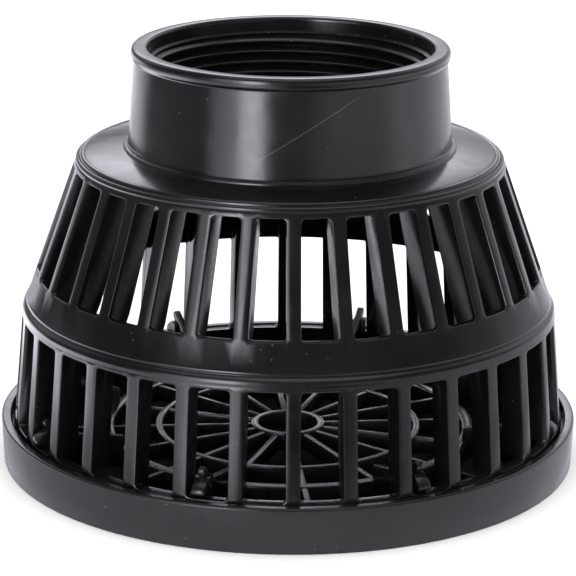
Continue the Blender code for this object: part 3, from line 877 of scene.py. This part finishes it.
# %% [markdown]
# ## The poppet
#
# A domed disc with a flat rubber ring that a plate clamps from below. The stem hangs from its own head on
# top of the dome, runs through the bush and the spring, and ends in a thread with a lock nut.

# %% Disc, ring and plate
disc = turn_round([
    (7.9, 67.8), (14.95, 67.8), (15.1, 67.95), (15.1, 70.1), (21.05, 70.1), (21.3, 70.35), (21.3, 71.5),
    (21.2, 71.8), (20.9, 71.93), (11.9, 72.83), (11.4, 72.98), (11.1, 73.3), (9.7, 74.75), (9.35, 75.1),
    (8.8, 75.3), (2.5, 75.3), (2.3, 75.1), (2.3, 72.7), (7.3, 72.7), (7.65, 72.55), (7.8, 72.2),
    (7.8, 67.9),
])
carve(disc, countersunk_cutter(CLAMP_PLACES, 1.4, 1.4, 65.2, 0.5, 71.5))
finish_piece(disc, "fine_poppet_disc", POPPET, "valve_moulding", valve_plastic, "poppet_disc")
ring = turn_round(ring_section(15.4, 21.0, 67.8, 69.8, 0.3, 3))
finish_piece(ring, "fine_poppet_seal", POPPET, "rubber_seal", rubber, "poppet_seal")
clamp = turn_round([
    (8.55, 66.2), (17.3, 66.2), (17.55, 66.3), (17.85, 66.6), (17.9, 66.75), (17.9, 67.4), (17.8, 67.5),
    (8.5, 67.5), (8.4, 67.4), (8.4, 66.35),
])
carve(clamp, countersunk_cutter(CLAMP_PLACES, 1.4, 1.4, 65.2, 0.5, 68.5))
finish_piece(clamp, "fine_seal_clamp_plate", POPPET, "valve_moulding", valve_plastic, "seal_clamp_plate")

# %% [markdown]
# The stem is turned from bar: a domed head, a plain shank and a thread with a bevelled end. A rubber
# washer under the head keeps water from creeping along the shank. At the lower end a washer carries the
# spring, and a hexagon nut, whose corners are bevelled by a turned shape, locks it.

# %% Stem, head seal, washer and lock nut
NUT_FLATS = 7.0
NUT_LOW = 53.6
NUT_HIGH = 55.8
stem = turn_round([
    (0.0, 53.0), (1.6, 53.0), (1.75, 53.2), *thread_rings(1.72, 2.0, 53.3, 56.2, 0.5), (1.75, 56.0),
    (2.0, 56.3), (2.0, 76.7), (3.85, 76.7), (4.0, 76.85), (4.0, 78.0), (3.85, 78.45), (3.45, 78.75),
    (2.9, 78.9), (0.0, 78.9),
], 48)
finish_piece(stem, "fine_stem", POPPET, "stainless_steel", stainless, "stem", smooth=32.0)
head_seal = turn_round(ring_section(2.3, 4.6, 75.6, 76.4, 0.2, 3), 48)
finish_piece(head_seal, "fine_stem_head_seal", POPPET, "rubber_seal", rubber, "stem_head_seal")
washer = turn_round(ring_section(2.3, 4.6, 56.1, 56.9, 0.12), 48)
finish_piece(washer, "fine_spring_washer", POPPET, "stainless_steel", stainless, "spring_washer")

bpy.ops.object.select_all(action="DESELECT")
bpy.ops.mesh.primitive_cylinder_add(vertices=6, radius=NUT_FLATS / math.sqrt(3.0) * MM,
                                    depth=(NUT_HIGH - NUT_LOW) * MM,
                                    location=(0.0, 0.0, 0.5 * (NUT_LOW + NUT_HIGH) * MM))
nut = bpy.context.object
bpy.ops.object.transform_apply(location=True)
chamfer = turn_round([
    (0.0, NUT_LOW), (3.45, NUT_LOW), (4.1, 53.95), (4.1, 55.45), (3.45, NUT_HIGH), (0.0, NUT_HIGH),
], 48)
carve(nut, chamfer, "INTERSECT")
carve(nut, countersunk_cutter([Vector()], 2.3, 2.3, 53.0, 0.5, 56.5))
finish_piece(nut, "fine_stem_lock_nut", POPPET, "stainless_steel", stainless, "stem_lock_nut", smooth=30.0)

# %% [markdown]
# ## The return spring
#
# Round wire wound on a helix. A curve with a bevel could make it too, but the thread's helper is at hand: a
# small circle stands beside the axis and is wound up. The spring rides on the housing. In the valve its top
# stays put, and it is pressed together from below as the poppet rises.

# %% Wind the spring
WIRE = 0.35
SPRING_RADIUS = 3.6
SPRING_LOW = 57.55
SPRING_HIGH = 67.05
SPRING_TURNS = 4.5
bpy.ops.object.select_all(action="DESELECT")
bpy.ops.mesh.primitive_circle_add(vertices=16, radius=WIRE * MM, fill_type="NOTHING",
                                  location=(SPRING_RADIUS * MM, 0.0, SPRING_LOW * MM),
                                  rotation=(math.pi / 2, 0.0, 0.0))
spring = bpy.context.object
bpy.ops.object.transform_apply(location=True, rotation=True)
wind_up(spring, math.tau * SPRING_TURNS, SPRING_HIGH - SPRING_LOW, 300)
bpy.ops.mesh.edge_face_add()
close_up()
finish_piece(spring, "fine_return_spring", HOUSING, "spring_wire", wire_steel, "return_spring", smooth=50.0)
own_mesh(spring)

# %% [markdown]
# ## The studio
#
# The part stands on a plain white floor in white, soft light. A black glossy part is drawn by what it
# reflects, so what its reflections see is built from windows of direction, each with soft edges, just as
# boxes and cards are set up in a real studio. One helper makes a window from an azimuth and an elevation.


# %% Soft-edged regions of direction
def region(nodes, links, direction, azimuth, half_width, soft, low=None, high=None, rise=6.0):
    """1 inside a window of azimuth (degrees from -Y towards +X) and elevation, fading to 0 outside."""
    parts = nodes.new("ShaderNodeSeparateXYZ")
    links.new(direction, parts.inputs["Vector"])
    angle = math.radians(azimuth)
    along = combine(nodes, links, "MULTIPLY", parts.outputs["X"], math.sin(angle))
    across = combine(nodes, links, "MULTIPLY", parts.outputs["Y"], -math.cos(angle))
    flat = combine(nodes, links, "ADD", along, across)
    x_sq = combine(nodes, links, "MULTIPLY", parts.outputs["X"], parts.outputs["X"])
    y_sq = combine(nodes, links, "MULTIPLY", parts.outputs["Y"], parts.outputs["Y"])
    length = combine(nodes, links, "SQRT", combine(nodes, links, "ADD", x_sq, y_sq), 0.0)
    cosine = combine(nodes, links, "DIVIDE", flat, length)
    outer = math.cos(math.radians(min(half_width + soft, 180.0)))
    inner = math.cos(math.radians(max(half_width - soft, 0.0)))
    value = remap(nodes, links, cosine, outer, inner, 0.0, 1.0)
    for limit, sign in ((low, 1.0), (high, -1.0)):
        if limit is not None:
            start = math.sin(math.radians(limit - sign * rise))
            end = math.sin(math.radians(limit + sign * rise))
            ends = (0.0, 1.0) if sign > 0 else (1.0, 0.0)
            edge = remap(nodes, links, parts.outputs["Z"], min(start, end), max(start, end), *ends)
            value = combine(nodes, links, "MULTIPLY", value, edge)
    return value


def add_up(nodes, links, base, layers):
    """base plus the sum of region * strength."""
    total = base
    for value, strength in layers:
        part = combine(nodes, links, "MULTIPLY", value, strength)
        total = combine(nodes, links, "ADD", part, total)
    return total


# %% [markdown]
# A studio is even for matt surfaces and shaped for glossy ones. Area lamps could do both, but each would
# also change the floor. So the world gives even white light to everything except glossy rays, which see a
# soft box at the front left, a pale surround from the right round the back, and dark in front.

# %% The world: white to the eye, even to matt surfaces, shaped to glossy ones
EVEN_LIGHT = 1.55
SURROUND_BASE = 0.10
COOL_WHITE = (0.97, 0.97, 1.06, 1.0)
world = bpy.data.worlds.new("studio")
bpy.context.scene.world = world
world.use_nodes = True
nodes = world.node_tree.nodes
links = world.node_tree.links
nodes.clear()
ray = nodes.new("ShaderNodeLightPath")
direction = nodes.new("ShaderNodeTexCoord").outputs["Generated"]
# Each window: azimuth, half width and softness, lowest and highest elevation and its softness; strength.
WINDOWS = [
    ((-27.0, 6.0, 5.0, None, 24.0, 16.0), 8.0),        # the soft box, front left
    ((-36.0, 15.0, 12.0, None, 30.0, 16.0), 2.2),      # the glow round it
    ((0.0, 180.0, 1.0, None, 0.0, 5.0), 0.20),         # all of the table, faintly
    ((52.0, 32.0, 14.0, None, 8.0, 8.0), 0.55),        # low, front right
    ((-174.0, 12.0, 10.0, 15.0, 36.0, 5.0), 2.6),      # a card behind, which the shoulder shows
    ((178.0, 62.0, 20.0, 12.0, 50.0, 6.0), 0.55),      # the wall behind
    ((152.0, 34.0, 18.0, 0.0, 12.0, 4.0), 0.35),       # its foot, to the right
    ((132.0, 54.0, 12.0, None, 0.0, 5.0), 0.95),       # the table behind, to the right
    ((130.0, 30.0, 30.0, 0.0, 60.0, 8.0), 0.30),       # the wall at the right
    ((-156.0, 28.0, 9.0, None, 0.0, 5.0), 1.35),       # the table behind, to the left
    ((0.0, 180.0, 1.0, 62.0, None, 8.0), 1.0),         # the ceiling
]
layers = [(region(nodes, links, direction, *window), strength) for window, strength in WINDOWS]
surround = add_up(nodes, links, SURROUND_BASE, layers)
lamp = nodes.new("ShaderNodeBackground")
links.new(surround, lamp.inputs["Strength"])
even = nodes.new("ShaderNodeBackground")
even.inputs["Strength"].default_value = EVEN_LIGHT
lamp.inputs["Color"].default_value = COOL_WHITE
even.inputs["Color"].default_value = (1.0, 1.0, 1.0, 1.0)
choose = nodes.new("ShaderNodeMixShader")
links.new(ray.outputs["Is Glossy Ray"], choose.inputs["Fac"])
links.new(even.outputs["Background"], choose.inputs[1])
links.new(lamp.outputs["Background"], choose.inputs[2])
out = nodes.new("ShaderNodeOutputWorld")
links.new(choose.outputs["Shader"], out.inputs["Surface"])
print("world made")

# %% [markdown]
# The floor is matt white paper. Under the part it is painted dark, because so much white light comes from
# all sides that its plain shadow would be too pale behind the lattice.

# %% The floor
FLOOR_SIZE = 6.0
PAINTED_SHADOW_RADII = (0.0590, 0.0605)      # radii in metres between which the painted shadow under the part ends


def distance_from_origin(nodes, links, coords):
    node = nodes.new("ShaderNodeVectorMath")
    node.operation = "LENGTH"
    links.new(coords, node.inputs[0])
    return node.outputs["Value"]


bpy.ops.object.select_all(action="DESELECT")
bpy.ops.mesh.primitive_plane_add(size=FLOOR_SIZE, location=(0.0, 0.0, 0.0))
floor = bpy.context.object
floor.name = "floor"
floor_mat, nodes, links, shader, coords = start_material("white floor")
shade = remap(nodes, links, noise(nodes, links, coords, 3.0, 2.0), 0.3, 0.7, 0.0, 1.0)
paper = blend_colors(nodes, links, shade, (0.93, 0.93, 0.93), (0.95, 0.95, 0.95))
# Painted shadow: inside the cover's wall the floor's colour goes dark, standing in for the shade under the
# part.
under = remap(nodes, links, distance_from_origin(nodes, links, coords), *PAINTED_SHADOW_RADII, 1.0, 0.0)
links.new(blend_colors(nodes, links, under, paper, (0.02, 0.02, 0.02)), shader.inputs["Base Color"])
shader.inputs["Roughness"].default_value = 1.0
shader.inputs["Specular IOR Level"].default_value = 0.0
floor.data.materials.append(floor_mat)
floor.visible_glossy = False
print("floor laid")

# %% [markdown]
# Seen from a little above, upright walls reflect the table, and a white table would make them grey all
# over. Reflections see this card instead of the floor: bright at the left, weaker elsewhere, with a glow
# close to the part, and dark under it. The camera and the even light don't see it.

# %% The card that only reflections see
CARD_RADIUS = 0.34
CARD_BASE = 0.06
NEAR_GLOW = 0.9
CARD_WINDOWS = [
    ((-108.0, 26.0, 16.0), 3.6),      # left
    ((-52.0, 34.0, 18.0), 1.9),       # front left
    ((-25.0, 9.0, 8.0), 1.6),         # below the soft box
    ((100.0, 62.0, 26.0), 0.9),       # right
    ((180.0, 40.0, 25.0), 0.9),       # back
]
bpy.ops.object.select_all(action="DESELECT")
bpy.ops.mesh.primitive_circle_add(vertices=96, radius=CARD_RADIUS, fill_type="NGON",
                                  location=(0.0, 0.0, 0.05 * MM))
card = bpy.context.object
card.name = "reflection_card"
card_mat = bpy.data.materials.new("reflection card")
card_mat.use_nodes = True
nodes = card_mat.node_tree.nodes
links = card_mat.node_tree.links
nodes.clear()
place = nodes.new("ShaderNodeTexCoord").outputs["Object"]
reach = distance_from_origin(nodes, links, place)
near = remap(nodes, links, reach, 0.095, 0.130, 1.0, 0.0)
beyond = remap(nodes, links, reach, 0.095, 0.150, 0.0, 1.0)
fade = remap(nodes, links, reach, 0.22, 0.33, 1.0, 0.3)
outside = remap(nodes, links, reach, 0.0600, 0.0630, 0.0, 1.0)
layers = [(region(nodes, links, place, *window), strength) for window, strength in CARD_WINDOWS]
table = add_up(nodes, links, 0.0, layers)
table = combine(nodes, links, "MULTIPLY", table, combine(nodes, links, "MULTIPLY", beyond, fade))
table = add_up(nodes, links, table, [(near, NEAR_GLOW)])
table = combine(nodes, links, "ADD", table, CARD_BASE)
table = combine(nodes, links, "MULTIPLY", table, outside)
glow = nodes.new("ShaderNodeEmission")
glow.inputs["Color"].default_value = COOL_WHITE
links.new(table, glow.inputs["Strength"])
out = nodes.new("ShaderNodeOutputMaterial")
links.new(glow.outputs["Emission"], out.inputs["Surface"])
card.data.materials.append(card_mat)
card.visible_camera = False
card.visible_diffuse = False
card.visible_shadow = False
card.visible_transmission = False
print("reflection card laid")

# %% [markdown]
# The camera looks down on the part from the front with a long lens, so that the rims are flat ellipses and
# the neck doesn't loom. Its place and its slight roll were fitted to those rims.

# %% The camera
CAMERA_LENS = 172.41
CAMERA_TARGET = Vector((-0.00019, 0.0, 0.03683))
CAMERA_PLACE = Vector((-0.00019, -0.5725, 0.2095))
CAMERA_ROLL = math.radians(0.4655)
camera_data = bpy.data.cameras.new("camera")
camera_data.lens = CAMERA_LENS
camera_data.sensor_width = 36.0
camera_data.clip_start = 0.01
camera = bpy.data.objects.new("camera", camera_data)
bpy.context.scene.collection.objects.link(camera)
camera.location = CAMERA_PLACE
look = (CAMERA_TARGET - CAMERA_PLACE).to_track_quat("-Z", "Y")
camera.rotation_mode = "QUATERNION"
camera.rotation_quaternion = look @ Matrix.Rotation(CAMERA_ROLL, 4, "Z").to_quaternion()
bpy.context.scene.camera = camera
bpy.context.scene.view_settings.view_transform = "Standard"
print("camera at", tuple(round(c, 4) for c in CAMERA_PLACE))
